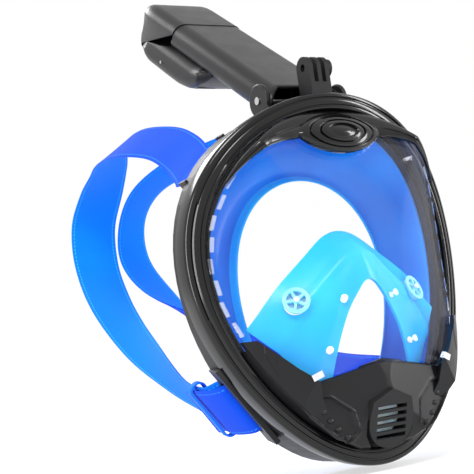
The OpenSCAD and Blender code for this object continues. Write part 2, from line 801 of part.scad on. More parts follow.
float_pin();
head_strap();  // head_strap_left
mirror([1, 0, 0]) head_strap();  // head_strap_right
strap_keeper();  // strap_keeper_left
mirror([1, 0, 0]) strap_keeper();  // strap_keeper_right
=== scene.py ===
import bpy, bmesh, math
from mathutils import Matrix, Vector


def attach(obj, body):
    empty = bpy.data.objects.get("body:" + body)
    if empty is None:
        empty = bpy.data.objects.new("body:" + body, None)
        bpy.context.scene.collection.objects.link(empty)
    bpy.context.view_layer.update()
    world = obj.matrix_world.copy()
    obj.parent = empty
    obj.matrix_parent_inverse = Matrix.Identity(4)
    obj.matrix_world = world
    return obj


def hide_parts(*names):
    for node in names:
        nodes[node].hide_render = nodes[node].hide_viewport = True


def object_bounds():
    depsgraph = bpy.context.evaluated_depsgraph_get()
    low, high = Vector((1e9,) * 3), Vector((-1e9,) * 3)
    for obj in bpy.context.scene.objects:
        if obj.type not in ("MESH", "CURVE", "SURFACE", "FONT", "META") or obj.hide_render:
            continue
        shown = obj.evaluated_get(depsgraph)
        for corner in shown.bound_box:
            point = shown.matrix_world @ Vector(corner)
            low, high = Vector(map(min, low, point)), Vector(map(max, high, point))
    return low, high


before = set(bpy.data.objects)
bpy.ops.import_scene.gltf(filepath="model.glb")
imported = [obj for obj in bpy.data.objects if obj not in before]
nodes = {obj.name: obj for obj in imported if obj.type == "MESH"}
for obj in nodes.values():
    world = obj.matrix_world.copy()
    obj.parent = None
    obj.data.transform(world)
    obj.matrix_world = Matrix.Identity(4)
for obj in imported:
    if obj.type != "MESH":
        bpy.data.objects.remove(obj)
cad_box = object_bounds()
scene = bpy.context.scene
MM = 0.001
RIM_W, RIM_H, RIM_Z, EGG = 103, 118.5, -8.5, 0.16
WRAP_R, WRAP_Y = 205, 145


# ---- shapes shared with the CAD, in mm ----
def rim(inset, deg):
    a = math.radians(deg)
    x = (RIM_W - inset) * math.cos(a) * (1 + EGG * math.sin(a))
    return x, RIM_Z + (RIM_H - inset) * math.sin(a)


def rim_out(deg):
    a = math.radians(deg)
    rise = math.sin(a) * (1 + EGG * math.sin(a)) - EGG * math.cos(a) ** 2
    out = Vector((RIM_H * math.cos(a), 0, RIM_W * rise))
    out.normalize()
    return out


def wrap_at(x, d):
    return WRAP_Y - math.sqrt((WRAP_R - d) ** 2 - x * x)


def spline(points, u):
    k = min(int(u), len(points) - 2)
    t = u - k
    a, b = Vector(points[max(k - 1, 0)]), Vector(points[k])
    c, d = Vector(points[k + 1]), Vector(points[min(k + 2, len(points) - 1)])
    return 0.5 * ((2 * b) + (c - a) * t + (2 * a - 5 * b + 4 * c - d) * t * t
                  + (3 * b - a - 3 * c + d) * t ** 3)


# ---- mesh helpers ----
def piece(name, verts, faces, body, mats, stands_for=(), subdiv=0, sharp=40, uvs=None, mat_of=None):
    mesh = bpy.data.meshes.new(name)
    mesh.from_pydata([tuple(c * MM for c in v) for v in verts], [], faces)
    if uvs:
        layer = mesh.uv_layers.new(name="uv")
        for loop in mesh.loops:
            layer.data[loop.index].uv = uvs[loop.vertex_index]
    obj = bpy.data.objects.new(name, mesh)
    scene.collection.objects.link(obj)
    for m in (mats if isinstance(mats, (list, tuple)) else [mats]):
        mesh.materials.append(m)
    if mat_of:
        for i, poly in enumerate(mesh.polygons):
            poly.material_index = mat_of(i)
    bm = bmesh.new()
    bm.from_mesh(mesh)
    bmesh.ops.recalc_face_normals(bm, faces=bm.faces)
    bm.to_mesh(mesh)
    bm.free()
    for poly in mesh.polygons:
        poly.use_smooth = True
    mesh.set_sharp_from_angle(angle=math.radians(sharp))
    if subdiv:
        mod = obj.modifiers.new("smooth", "SUBSURF")
        mod.levels = mod.render_levels = subdiv
    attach(obj, body)
    if stands_for:
        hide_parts(*stands_for)
    return obj


def grid_faces(rows, cols, close_rows=False, close_cols=True, offset=0):
    faces = []
    for j in range(rows if close_rows else rows - 1):
        for i in range(cols if close_cols else cols - 1):
            a, b = j * cols + i, j * cols + (i + 1) % cols
            c, d = ((j + 1) % rows) * cols + (i + 1) % cols, ((j + 1) % rows) * cols + i
            faces.append((a + offset, b + offset, c + offset, d + offset))
    return faces


def egg_sweep(profile, step=2.5, depth=wrap_at):
    """Closed profile of (inset, depth) pairs carried round the egg outline."""
    verts = []
    angles = [k * step for k in range(int(360 / step))]
    for a in angles:
        for inset, d in profile:
            x, z = rim(inset, a)
            verts.append((x, depth(x, d), z))
    return verts, grid_faces(len(angles), len(profile), close_rows=True)


# ---- materials ----
def new_mat(name):
    mat = bpy.data.materials.new(name)
    mat.use_nodes = True
    tree = mat.node_tree
    return mat, tree, tree.nodes["Principled BSDF"]


def noise(tree, scale, detail=3.0, coord="Object"):
    tex = tree.nodes.new("ShaderNodeTexNoise")
    tex.inputs["Scale"].default_value = scale
    tex.inputs["Detail"].default_value = detail
    where = tree.nodes.new("ShaderNodeTexCoord")
    tree.links.new(where.outputs[coord], tex.inputs["Vector"])
    return tex.outputs["Fac"]


def ramp(tree, value, stops):
    node = tree.nodes.new("ShaderNodeValToRGB")
    tree.links.new(value, node.inputs[0])
    node.color_ramp.elements[0].position, node.color_ramp.elements[0].color = stops[0][0], (*stops[0][1], 1)
    node.color_ramp.elements[1].position, node.color_ramp.elements[1].color = stops[-1][0], (*stops[-1][1], 1)
    for at, colour in stops[1:-1]:
        node.color_ramp.elements.new(at).color = (*colour, 1)
    return node.outputs[0]


def span(tree, value, low, high):
    node = tree.nodes.new("ShaderNodeMapRange")
    tree.links.new(value, node.inputs[0])
    node.inputs[3].default_value, node.inputs[4].default_value = low, high
    return node.outputs[0]


def bump(tree, shader, value, strength, distance):
    node = tree.nodes.new("ShaderNodeBump")
    node.inputs["Strength"].default_value = strength
    node.inputs["Distance"].default_value = distance
    tree.links.new(value, node.inputs["Height"])
    tree.links.new(node.outputs[0], shader.inputs["Normal"])


def shade(colour, k):
    return tuple(min(c * k, 1) for c in colour)


def moulded(name, colour, rough, grain=900, relief=0.06, vary=0.12, coat=0.0, level=0.5, sheen=0.0):
    """Moulded plastic or rubber: faint colour drift, fine grain, scuffs in the roughness."""
    mat, tree, bsdf = new_mat(name)
    drift = noise(tree, 18, 4)
    tree.links.new(ramp(tree, drift, [(0.3, shade(colour, 1 - vary)), (0.7, shade(colour, 1 + vary))]),
                   bsdf.inputs["Base Color"])
    scuffs = span(tree, noise(tree, 70, 5), rough * 0.8, min(rough * 1.25, 1))
    tree.links.new(scuffs, bsdf.inputs["Roughness"])
    bump(tree, bsdf, noise(tree, grain, 2), relief, 0.0004)
    bsdf.inputs["Specular IOR Level"].default_value = level
    bsdf.inputs["Coat Weight"].default_value = coat
    bsdf.inputs["Coat Roughness"].default_value = 0.05
    bsdf.inputs["Sheen Weight"].default_value = sheen
    return mat


def silicone(name, deep, light, rough=0.32, glow=0.35, scale=14, body=0.0):
    """Soft silicone: cloudy depth, light let through, satin skin."""
    mat, tree, bsdf = new_mat(name)
    cloud = ramp(tree, noise(tree, scale, 2), [(0.32, deep), (0.68, light)])
    tree.links.new(cloud, bsdf.inputs["Base Color"])
    tree.links.new(span(tree, noise(tree, 120, 4), rough * 0.85, rough * 1.2), bsdf.inputs["Roughness"])
    bump(tree, bsdf, noise(tree, 500, 2), 0.05, 0.0003)
    bsdf.inputs["Subsurface Weight"].default_value = glow
    bsdf.inputs["Subsurface Radius"].default_value = (0.2, 0.5, 1.0)
    bsdf.inputs["Subsurface Scale"].default_value = 0.006
    bsdf.inputs["Emission Color"].default_value = (*light, 1)
    bsdf.inputs["Emission Strength"].default_value = body
    bsdf.inputs["Specular IOR Level"].default_value = 0.25
    return mat


def clear_film(name, tint, face, edge):
    """Clear polycarbonate: mostly open, a thin reflection that grows towards the edge."""
    mat, tree, bsdf = new_mat(name)
    weight = tree.nodes.new("ShaderNodeLayerWeight")
    weight.inputs["Blend"].default_value = 0.35
    haze = span(tree, noise(tree, 9, 2), 0.7, 1.3)
    edge_mix = span(tree, weight.outputs["Facing"], face, edge)
    times = tree.nodes.new("ShaderNodeMath")
    times.operation = "MULTIPLY"
    tree.links.new(haze, times.inputs[0])
    tree.links.new(edge_mix, times.inputs[1])
    tree.links.new(times.outputs[0], bsdf.inputs["Alpha"])
    bsdf.inputs["Base Color"].default_value = (*tint, 1)
    bsdf.inputs["Metallic"].default_value = 0.9
    bsdf.inputs["Roughness"].default_value = 0.04
    return mat


def webbing(name, colour, thread, line):
    """Elastic webbing: ribs along the band, cross threads, and stitched hems (uv in metres)."""
    mat, tree, bsdf = new_mat(name)
    uv = tree.nodes.new("ShaderNodeUVMap")
    split = tree.nodes.new("ShaderNodeSeparateXYZ")
    tree.links.new(uv.outputs[0], split.inputs[0])

    def calc(kind, a, b=None, c=None):
        node = tree.nodes.new("ShaderNodeMath")
        node.operation = kind
        for i, v in enumerate((a, b, c)):
            if v is None:
                continue
            if isinstance(v, (int, float)):
                node.inputs[i].default_value = v
            else:
                tree.links.new(v, node.inputs[i])
        return node.outputs[0]

    along, across = split.outputs[0], split.outputs[1]
    ribs = calc("SINE", calc("MULTIPLY", across, 2 * math.pi / 0.0011))
    cross = calc("SINE", calc("MULTIPLY", along, 2 * math.pi / 0.0009))
    weave = calc("MULTIPLY", calc("ADD", calc("MULTIPLY", ribs, cross), 1), 0.5)
    hem = calc("COMPARE", calc("ABSOLUTE", across), 0.0165, 0.0004)
    dash = calc("LESS_THAN", calc("FRACT", calc("DIVIDE", along, 0.0034)), 0.62)
    stitch = calc("MULTIPLY", hem, dash)
    cloth = ramp(tree, weave, [(0.0, shade(colour, 0.8)), (1.0, shade(colour, 1.12))])
    fuzz = noise(tree, 260, 5)
    mix = tree.nodes.new("ShaderNodeMixRGB")
    tree.links.new(stitch, mix.inputs[0])
    tree.links.new(cloth, mix.inputs[1])
    mix.inputs[2].default_value = (*line, 1)
    tint = tree.nodes.new("ShaderNodeMixRGB")
    tint.blend_type = "MULTIPLY"
    tint.inputs[0].default_value = 0.25
    tree.links.new(mix.outputs[0], tint.inputs[1])
    tree.links.new(ramp(tree, fuzz, [(0.35, thread), (0.65, (1, 1, 1))]), tint.inputs[2])
    tree.links.new(tint.outputs[0], bsdf.inputs["Base Color"])
    tree.links.new(span(tree, fuzz, 0.75, 0.95), bsdf.inputs["Roughness"])
    height = calc("ADD", calc("MULTIPLY", weave, 0.5), calc("MULTIPLY", stitch, -1.0))
    bump(tree, bsdf, height, 0.5, 0.0004)
    bsdf.inputs["Sheen Weight"].default_value = 0.04
    bsdf.inputs["Specular IOR Level"].default_value = 0.1
    return mat


def metal(name, colour, rough):
    mat, tree, bsdf = new_mat(name)
    tree.links.new(ramp(tree, noise(tree, 200, 4), [(0.3, shade(colour, 0.85)), (0.7, colour)]),
                   bsdf.inputs["Base Color"])
    tree.links.new(span(tree, noise(tree, 600, 3), rough * 0.7, rough * 1.4), bsdf.inputs["Roughness"])
    bump(tree, bsdf, noise(tree, 1200, 2), 0.08, 0.0002)
    bsdf.inputs["Metallic"].default_value = 1.0
    return mat


GLOSS = moulded("gloss_black", (0.003, 0.003, 0.0035), 0.16, 1400, 0.02, coat=0.2, level=0.28)
FRAME_GREY = moulded("frame_grey", (0.014, 0.014, 0.016), 0.42, 1100, 0.12, level=0.25)
SATIN = moulded("satin_black", (0.006, 0.006, 0.007), 0.34, 1200, 0.10, level=0.25)
CAP_SATIN = moulded("vent_black", (0.010, 0.010, 0.011), 0.4, 1300, 0.14, level=0.25)
MATT = moulded("matte_black", (0.006, 0.006, 0.007), 0.5, 1000, 0.2, level=0.22)
SNORKEL = moulded("snorkel_grey", (0.008, 0.008, 0.009), 0.34, 1300, 0.10, level=0.25)
PALE = moulded("snorkel_pale", (0.045, 0.045, 0.048), 0.42, 1300, 0.12, level=0.3)
RUBBER = moulded("black_rubber", (0.010, 0.010, 0.011), 0.7, 700, 0.25, level=0.2)
FLOAT = moulded("float_white", (0.72, 0.73, 0.75), 0.5, 600, 0.1)
SKIRT = silicone("skirt_blue", (0.0, 0.11, 0.62), (0.0, 0.29, 0.95), 0.3, 0.15)
# lighter cyan for the skirt's opening lip: a painted highlight
LIP_HIGHLIGHT = silicone("lip_cyan_painted_highlight", (0.0, 0.33, 0.90), (0.02, 0.50, 0.97), 0.28, 0.3)
POCKET = silicone("pocket_azure", (0.0, 0.36, 0.90), (0.03, 0.50, 0.95), 0.3, 0.3)
SEAT = silicone("seat_azure", (0.16, 0.58, 0.93), (0.34, 0.74, 0.97), 0.25, 0.5, 40)
FLAP = silicone("flap_clear", (0.55, 0.75, 0.88), (0.72, 0.86, 0.94), 0.2, 0.4, 40)
LENS = clear_film("lens_clear", (0.86, 0.87, 1.0), 0.012, 0.10)
BUTTON = silicone("button_clear", (0.70, 0.85, 0.94), (0.86, 0.94, 0.98), 0.15, 0.4, 60)
GLINT = clear_film("window_glint", (0.92, 0.95, 1.0), 0.35, 0.6)
KEEPER = moulded("keeper_blue", (0.0, 0.13, 0.9), 0.55, 900, 0.3, level=0.2)
STEEL = metal("steel", (0.62, 0.62, 0.64), 0.3)
SILVER = metal("clip_silver", (0.72, 0.73, 0.75), 0.22)
WEB_OUT = webbing("webbing_outer", (0.0, 0.17, 0.82), (0.6, 0.75, 0.95), (0.03, 0.36, 1.0))
# darker copy of the webbing colour and stitch colour for the bands' inner face: painted shade
WEB_INNER_SHADE = webbing("webbing_inner_painted_shade", (0.0, 0.06, 0.62), (0.6, 0.7, 0.95), (0.02, 0.20, 0.95))

CAD_LOOKS = {
    "rear_frame": FRAME_GREY, "lens": LENS, "lens_gasket": RUBBER, "front_bezel": GLOSS,
    "pocket_valve_seat_left": SEAT, "pocket_valve_seat_right": SEAT,
    "pocket_valve_flap_left": FLAP, "pocket_valve_flap_right": FLAP,
    "chin_housing": SATIN, "chin_cover": SATIN, "chin_vent_cap": CAP_SATIN,
    "purge_valve_seat": SATIN, "purge_valve_flap": FLAP,
    "chin_clip_left": SILVER, "chin_clip_right": SILVER, "brow_cover": GLOSS, "brow_boss": GLOSS,
    "camera_mount": MATT, "camera_nut": STEEL, "snorkel_base": SNORKEL, "hinge_pin": STEEL,
    "barrel_seal": RUBBER, "snorkel_tube": SNORKEL, "tube_divider": SNORKEL, "snorkel_cap": SNORKEL,
    "inlet_cover": SNORKEL, "cap_float": FLOAT, "float_seal": RUBBER, "float_pin": STEEL,
    "strap_keeper_left": WEB_OUT, "strap_keeper_right": WEB_OUT,
}
for k in range(1, 7):
    CAD_LOOKS["frame_screw_%d" % k] = STEEL
for side in ("left", "right"):
    for row in ("upper", "lower"):
        CAD_LOOKS["pocket_rivet_%s_%s" % (row, side)] = BUTTON
for name, mat in CAD_LOOKS.items():
    for holder in nodes[name].material_slots:
        holder.material = mat


# ---- front bezel: rounded lip with two grooves ----
BEZEL = [
    (0.2, 11.9), (0, 9), (0, 2.4), (0.25, 1.2), (0.9, 0.35), (1.9, 0.0), (3.0, 0.1), (3.3, 1.1),
    (4.2, 1.1), (4.5, 0.1), (5.4, -0.25), (6.8, -0.35), (7.9, -0.1), (8.2, 0.7), (8.8, 0.7), (9.1, 0.1),
    (10.0, 0.1), (10.7, 0.5), (11.0, 1.4), (11.0, 4.0), (7.3, 4.3), (7.0, 11.9),
]
v, f = egg_sweep(BEZEL, 2)
piece("bezel_ring", v, f, "mask", GLOSS, ["front_bezel"], sharp=50)


# ---- face skirt: one lofted ring whose inner lip is painted a lighter cyan as a highlight ----
def soft_ring(w, h, c, s, e, count=96):
    ring = []
    for i in range(count):
        a = 2 * math.pi * i / count
        x = w * math.cos(a) * (1 + EGG * math.sin(a))
        ring.append((x, wrap_at(x, 14.7) * (1 - s) + e * s, c + h * math.sin(a)))
    return ring


SKIRT_RINGS = [
    (91.8, 107.3, -8.5, 0, 0), (86.5, 102, -8.5, 0, 0), (85, 100.5, -8.5, 0.12, -2),
    (82.5, 98.2, -8.6, 0.5, -2), (78, 95, -10.5, 0.74, -2), (71, 90.5, -15.5, 0.93, -2),
    (64, 88.2, -19, 0.99, -2.6), (60.5, 87, -20.6, 1, -4.6), (57.6, 85, -21.8, 1, -8.9),
    (56.2, 84.1, -22, 1, -9.1), (56.9, 84.5, -21.9, 1, -7.7), (61, 87.2, -20.5, 1, -2.4),
    (71.5, 91, -15.5, 1, 0), (80, 96.9, -10.5, 0.8, 1), (85.8, 101.3, -8.5, 0.4, -0.5),
]
rings = [soft_ring(*r) for r in SKIRT_RINGS]
for half_w, half_h in ((86.8, 102.3), (91.8, 107.3)):
    rings.append([(x, wrap_at(x, 16.8), z) for x, y, z in soft_ring(half_w, half_h, RIM_Z, 0, 0)])
v = [p for r in rings for p in r]
f = grid_faces(len(rings), 96, close_rows=True)
# rings 7 to 10, the opening lip, take the lighter silicone: painted highlight
piece("skirt_body", v, f, "mask", [SKIRT, LIP_HIGHLIGHT], ["face_skirt"], subdiv=1, sharp=180,
      mat_of=lambda i: 1 if 7 <= i // 96 <= 10 else 0)


# ---- nose pocket ----
TOP_EDGE = [
    (0, -45, 22), (8, -45, 20.6), (16, -45, 16.5), (29, -45, 6.5), (50, -44, -10), (65, -40, -26),
    (73, -38, -34),
]
ARCH_EDGE = [
    (0, -72, -12.6), (4, -71.8, -14.2), (8, -71.2, -18.5), (16, -68.6, -30), (23, -66, -45),
    (28, -62, -62), (33, -55, -86),
]


def both_sides(edge):
    return [(-x, y, z) for x, y, z in reversed(edge[1:])] + edge


def pocket_point(u, s):
    p = abs(u)
    q = spline(both_sides(TOP_EDGE), u + 6) * (1 - s) + spline(both_sides(ARCH_EDGE), u + 6) * s
    arc = math.sin(math.pi * s)
    crease = 1.6 * math.exp(-((s - 0.55 + 0.03 * p) / 0.07) ** 2) * min(p / 2, 1)
    return Vector((q.x, q.y - 7 * arc * (1 - p / 9) - crease, q.z + 3 * arc))


def pocket():
    us = [-6 + k * 0.2 for k in range(61)]
    ss = [k / 24 for k in range(25)]
    front = [pocket_point(u, s) for u in us for s in ss]
    n, m = len(us), len(ss)
    verts = list(front)
    for j in range(n):
        for i in range(m):
            a, b = front[min(j + 1, n - 1) * m + i], front[max(j - 1, 0) * m + i]
            c, d = front[j * m + min(i + 1, m - 1)], front[j * m + max(i - 1, 0)]
            out = (a - b).cross(c - d)
            if out.length > 1e-9:
                out.normalize()
            if out.y > 0:
                out = -out
            verts.append(front[j * m + i] - out * 1.8)
    faces = grid_faces(n, m, close_cols=False)
    faces += [tuple(reversed([k + n * m for k in q])) for q in grid_faces(n, m, close_cols=False)]
    edge = [(j * m, (j + 1) * m) for j in range(n - 1)]
    edge += [((j + 1) * m + m - 1, j * m + m - 1) for j in range(n - 1)]
    edge += [(i + 1, i) for i in range(m - 1)]
    edge += [((n - 1) * m + i, (n - 1) * m + i + 1) for i in range(m - 1)]
    faces += [(a, a + n * m, b + n * m, b) for a, b in edge]
    return verts, faces


v, f = pocket()
shell = piece("pocket_shell", v, f, "mask", POCKET, ["nose_pocket"], sharp=60)


def frame_at(place, rx, rz):
    return Matrix.Translation(Vector(place) * MM) @ Matrix.Rotation(math.radians(rz), 4, "Z") \
        @ Matrix.Rotation(math.radians(rx), 4, "X")


MIRROR = Matrix.Scale(-1, 4, (1, 0, 0))
VALVE = frame_at((45, -55, -21), 70, 25)
cutters = []
for flip in (Matrix.Identity(4), MIRROR):
    bpy.ops.mesh.primitive_cylinder_add(vertices=40, radius=7.7 * MM, depth=20 * MM)
    cut = bpy.context.object
    cut.matrix_world = flip @ VALVE
    cutters.append(cut)
for cut in cutters:
    mod = shell.modifiers.new("hole", "BOOLEAN")
    mod.object = cut
    mod.solver = "EXACT"
bpy.context.view_layer.objects.active = shell
for mod in list(shell.modifiers):
    bpy.ops.object.modifier_apply(modifier=mod.name)
for cut in cutters:
    bpy.data.objects.remove(cut, do_unlink=True)
for poly in shell.data.polygons:
    poly.use_smooth = True
shell.data.set_sharp_from_angle(angle=math.radians(50))


# ---- head straps ----
# Long edges of the left band, from its upper anchor round the head to the lower one. Most of these
# points are rounded from a curve-fitting program, not worked out from driving dimensions.
INNER = [
    (56.3, 6, 90.8), (49, 34, 106), (45, 70, 121), (47, 119, 132), (38, 170, 134), (17, 222, 127),
    (4, 268, 111), (1.6, 300, 84), (1.6, 303, 50), (9, 271, 18), (26, 214, -7), (47, 143, -32),
    (66, 78, -54), (80, 32, -62.5), (83.7, 6, -65.4),
]
OUTER = [
    (84.1, 6, 64.9), (76, 33, 80), (74, 66, 97), (77, 112, 109), (69, 168, 115), (51, 228, 118),
    (40, 281, 112), (37, 317, 90), (38, 318, 53), (44, 276, 9), (43, 216, -36), (41, 147, -68),
    (46, 80, -86), (57, 33, -93), (61.4, 6, -96.2),
]
UPPER_LOOP = [(12, -11.9), (2, -11.9), (-6, -11.9), (-10.8, -10.9), (-12.1, -8.2), (-10.8, -5.5), (-6, -4.3)]
LOWER_LOOP = [
    (-4, -4.2), (-11, -6.2), (-16, -5.4), (-19.4, -1.6), (-17.6, 2), (-12, 3.8), (1, 4.6), (14, 3.7),
]
TAIL = [((81.6, 30, -66.5), (58.6, 31, -96.3)), ((76.4, 46.7, -67), (54.4, 48.5, -98))]


def beside(deg, y, n):
    x, z = rim(2, deg)
    out = rim_out(deg)
    return Vector((x, y, z)) + out * n, Vector((-out.z, 0, out.x)) * 19


def band_pairs():
    pairs = []
    for deg, loop in ((50, UPPER_LOOP), (None, None), (-38, LOWER_LOOP)):
        if deg is None:
            pairs += [(spline(INNER, u / 4), spline(OUTER, u / 4)) for u in range(57)]
            continue
        for y, n in loop:
            q, e = beside(deg, y, n)
            pairs.append((q + e, q - e))
    pairs += [(Vector(a), Vector(b)) for a, b in TAIL]
    tight, left, right = [], [p[0] for p in pairs], [p[1] for p in pairs]
    for k in range((len(pairs) - 1) * 3 + 1):
        tight.append((spline(left, k / 3), spline(right, k / 3)))
    return tight


def strap(name, side, node):
    pairs = band_pairs()
    across = [(-1, 0.0), (-0.975, 0.5), (-0.9, 0.8), (-0.45, 0.8), (0, 0.8)]
    across += [(-w, h) for w, h in reversed(across[:-1])]
    verts, uvs, run = [], [], 0.0
    ring = [(w, h) for w, h in across] + [(w, -h) for w, h in reversed(across[1:-1])]
    for k, (a, b) in enumerate(pairs):
        e, g = pairs[max(k - 1, 0)], pairs[min(k + 1, len(pairs) - 1)]
        mid = (a + b) / 2
        if k:
            run += (mid - (pairs[k - 1][0] + pairs[k - 1][1]) / 2).length
        normal = ((g[0] + g[1]) - (e[0] + e[1])).cross(a - b)
        normal.normalize()
        for w, h in ring:
            q = mid + (a - b) / 2 * w + normal * h
            verts.append((q.x * side, q.y, q.z))
            uvs.append((run * MM, w * 19 * MM))
    n, m = len(ring), len(pairs)
    faces = grid_faces(m, n)
    faces += [tuple(range(n)), tuple(reversed(range((m - 1) * n, m * n)))]
    half = len(across) - 1
    # the inner-face half of the band takes the darker webbing: painted shade on the side turned away from the
    # light
    return piece(name, verts, faces, "mask", [WEB_OUT, WEB_INNER_SHADE], [node], sharp=60, uvs=uvs,
                 mat_of=lambda i: 1 if i < (m - 1) * n and i % n < half else 0)


strap("strap_band_left", 1, "head_strap_left")
strap("strap_band_right", -1, "head_strap_right")


# ---- brow: two wings along the bezel and a ringed pod ----
def dome_y(x, z, t):
    side = 35.2 - math.sqrt(max((115.2 + t) ** 2 - x * x, 0))
    front = 163.6 - math.sqrt((241.15 + t) ** 2 - (z + 5.2) ** 2)
    return max(side, front)


def table(rows, at):
    for (a, p), (b, q) in zip(rows, rows[1:]):
        if at <= b:
            return p + (q - p) * (at - a) / (b - a)
    return rows[-1][1]


WING_WIDTH = [(0, 17), (14, 16), (22, 13.5), (28, 10), (35, 6.6), (44, 4.2), (52, 2.2), (57, 0.4)]
WING = [
    (0, 0.06), (0, 2.2), (0.06, 3.0), (0.2, 3.4), (0.42, 3.3), (0.47, 2.7), (0.53, 2.7), (0.58, 3.1),
    (0.8, 2.5), (0.94, 1.5), (1, 0.06),
]


def brow_wings():
    verts = []
    angles = [33 + k for k in range(115)]
    for a in angles:
        width = table(WING_WIDTH, abs(a - 90))
        for u, t in WING:
            x, z = rim(11.05 + u * width, a)
            verts.append((x, dome_y(x, z, t * min(1, 0.35 + width / 8)), z))
    n, m = len(WING), len(angles)
    return verts, grid_faces(m, n) + [tuple(range(n)), tuple(reversed(range((m - 1) * n, m * n)))]


v, f = brow_wings()
piece("brow_wings", v, f, "mask", GLOSS, ["brow_cover"], sharp=30)

POD = [
    (1.0, 0.06), (0.985, 2.4), (0.95, 3.6), (0.87, 4.9), (0.81, 5.4), (0.79, 4.5), (0.75, 4.5),
    (0.735, 5.7), (0.66, 6.6), (0.58, 6.9), (0.565, 5.6), (0.52, 5.6), (0.505, 7.2), (0.44, 8.0),
    (0.37, 8.2), (0.35, 6.9), (0.3, 6.8), (0.2, 7.6), (0.1, 8.0), (0.02, 8.1),
]


def brow_pod():
    verts, n = [], 80
    for r, t in POD:
        for i in range(n):
            a = 2 * math.pi * i / n
            c, s = math.cos(a), math.sin(a)
            point = 1.0 + 0.35 * r * r
            x, z = 31.5 * r * c, 82.5 + 14.5 * r * math.copysign(abs(s) ** point, s)
            verts.append((x, dome_y(x, z, 0) - t, z))
    ends = [tuple((len(POD) - 1) * n + i for i in range(n)), tuple(reversed(range(n)))]
    return verts, grid_faces(len(POD), n) + ends


v, f = brow_pod()
piece("brow_pod", v, f, "mask", GLOSS, ["brow_boss"], sharp=30)


# ---- chin: a ridged shell with sunk side panels and beads ----
PANEL = [(53, -79), (39, -80.5), (26, -91), (23.5, -104), (30, -110), (44, -98), (54, -87)]


VENT_Z, VENT_R = 102.6, 17.2


def inside_by(x, z, loop):
    """Distance to the loop in mm, positive inside."""
    best, odd = 1e9, False
    for (ax, az), (bx, bz) in zip(loop, loop[1:] + loop[:1]):
        t = ((x - ax) * (bx - ax) + (z - az) * (bz - az)) / ((bx - ax) ** 2 + (bz - az) ** 2)
        t = min(max(t, 0), 1)
        best = min(best, math.hypot(x - ax - t * (bx - ax), z - az - t * (bz - az)))
        if (az > z) != (bz > z) and x < ax + (z - az) * (bx - ax) / (bz - az):
            odd = not odd
    return best if odd else -best


def chin_y(x, z):
    arch = -3.2 - math.sqrt(max(72.4 ** 2 - (z + 76.1) ** 2, 0))
    return max(arch, -76 + 0.2126 * abs(x))


def chin_shell():
    tops = [(0, -62.8), (47, -71.3), (57, -62), (75, -42.6)]
    lows = [(0, -117), (20, -114.5), (38, -106), (52, -92), (63, -76), (70, -61), (75, -44.5)]
    xs = [-74 + k for k in range(149)]
    rows = 56
    verts = []
    for x in xs:
        hi, lo = table(tops, abs(x)), table(lows, abs(x))
        for j in range(rows + 1):
            z = hi + (lo - hi) * j / rows
            y = chin_y(x, z)
            y = min(max(y, dome_y(x, z, 3.4)), dome_y(x, z, 3.4) + 6) if abs(x) > 52 else y
            sunk = min(max(inside_by(abs(x), z, PANEL) / 0.8, 0), 1) * 1.5
            lip = 0.7 * math.exp(-((inside_by(abs(x), z, PANEL) + 0.6) / 0.7) ** 2)
            edge = 1.4 * (1 - min(j, rows - j) / 2) if min(j, rows - j) < 2 else 0
            verts.append((x, y + sunk - lip + edge, z))
    faces = grid_faces(len(xs), rows + 1, close_cols=False)
    kept = []
    for q in faces:
        x, y, z = verts[q[0]]
        if math.hypot(x + 0.5, (z + VENT_Z) * 1.06) > VENT_R:
            kept.append(q)
    return verts, kept


v, f = chin_shell()
chin = piece("chin_shell", v, f, "mask", SATIN, ["chin_cover"], sharp=24)
mod = chin.modifiers.new("wall", "SOLIDIFY")
mod.thickness = 1.2 * MM
mod.offset = 1 if chin.data.polygons[300].normal.y > 0 else -1

for side in (-1, 1):
    for k, (x, z) in enumerate([(43.5, -88.8), (39.8, -94.7), (35.8, -100.4), (30.2, -105.6)]):
        bpy.ops.mesh.primitive_uv_sphere_add(segments=20, ring_count=12, radius=1)
        bead = bpy.context.object
        bead.name = "chin_bead_%d_%s" % (k + 1, "right" if side < 0 else "left")
        bead.scale = (2.3 * MM, 1.3 * MM, 1.7 * MM)
        bead.location = (side * x * MM, (chin_y(x, z) + 1.5) * MM, z * MM)
        bpy.ops.object.transform_apply(location=True, rotation=True, scale=True)
        for poly in bead.data.polygons:
            poly.use_smooth = True
        bead.data.materials.append(CAP_SATIN)
        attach(bead, "mask")


# ---- snorkel: rounded shells split along a curved seam ----
LEAN = math.radians(54)
HINGE_Y, HINGE_Z = -24, 114
TIP = 203.2


def from_tube(x, y, z):
    back = HINGE_Y + y * math.cos(LEAN) + z * math.sin(LEAN)
    return Vector((x, back, HINGE_Z - y * math.sin(LEAN) + z * math.cos(LEAN)))


def round_box(half_w, top, bottom, r, count=64):
    pts = []
    flat_x, flat_y = half_w - r, (bottom - top) / 2 - r
    mid = (top + bottom) / 2
    per = count // 4
    for sx, sy, start in ((1, -1, -90), (1, 1, 0), (-1, 1, 90), (-1, -1, 180)):
        for i in range(per):
            a = math.radians(start + 90 * i / (per - 1))
            pts.append((sx * flat_x + r * math.cos(a), mid + sy * flat_y + r * math.sin(a)))
    return pts


def seam_z(x, y):
    """Where the cap begins: straight over the top, swept back down the sides."""
    return table([(-12, 133), (2, 135), (8, 141), (12, 150), (15, 159), (18, 172), (21, 184), (35, 190)], y) \
        + (x / 29) ** 2 * 3


def closing(x, y, z):
    """Rounds the far end of the cap."""
    k = min(max((z - 176) / (TIP - 176 + 0.3), 0), 1)
    shrink = math.sqrt(1 - k ** 2.6)
    pull = 0.3 + 0.7 * shrink
    yy = -11 + (y + 11) * (45 - 14 * k * k) / 45
    return (x * (0.55 + 0.45 * shrink), 6 + (yy - 6) * pull, z)


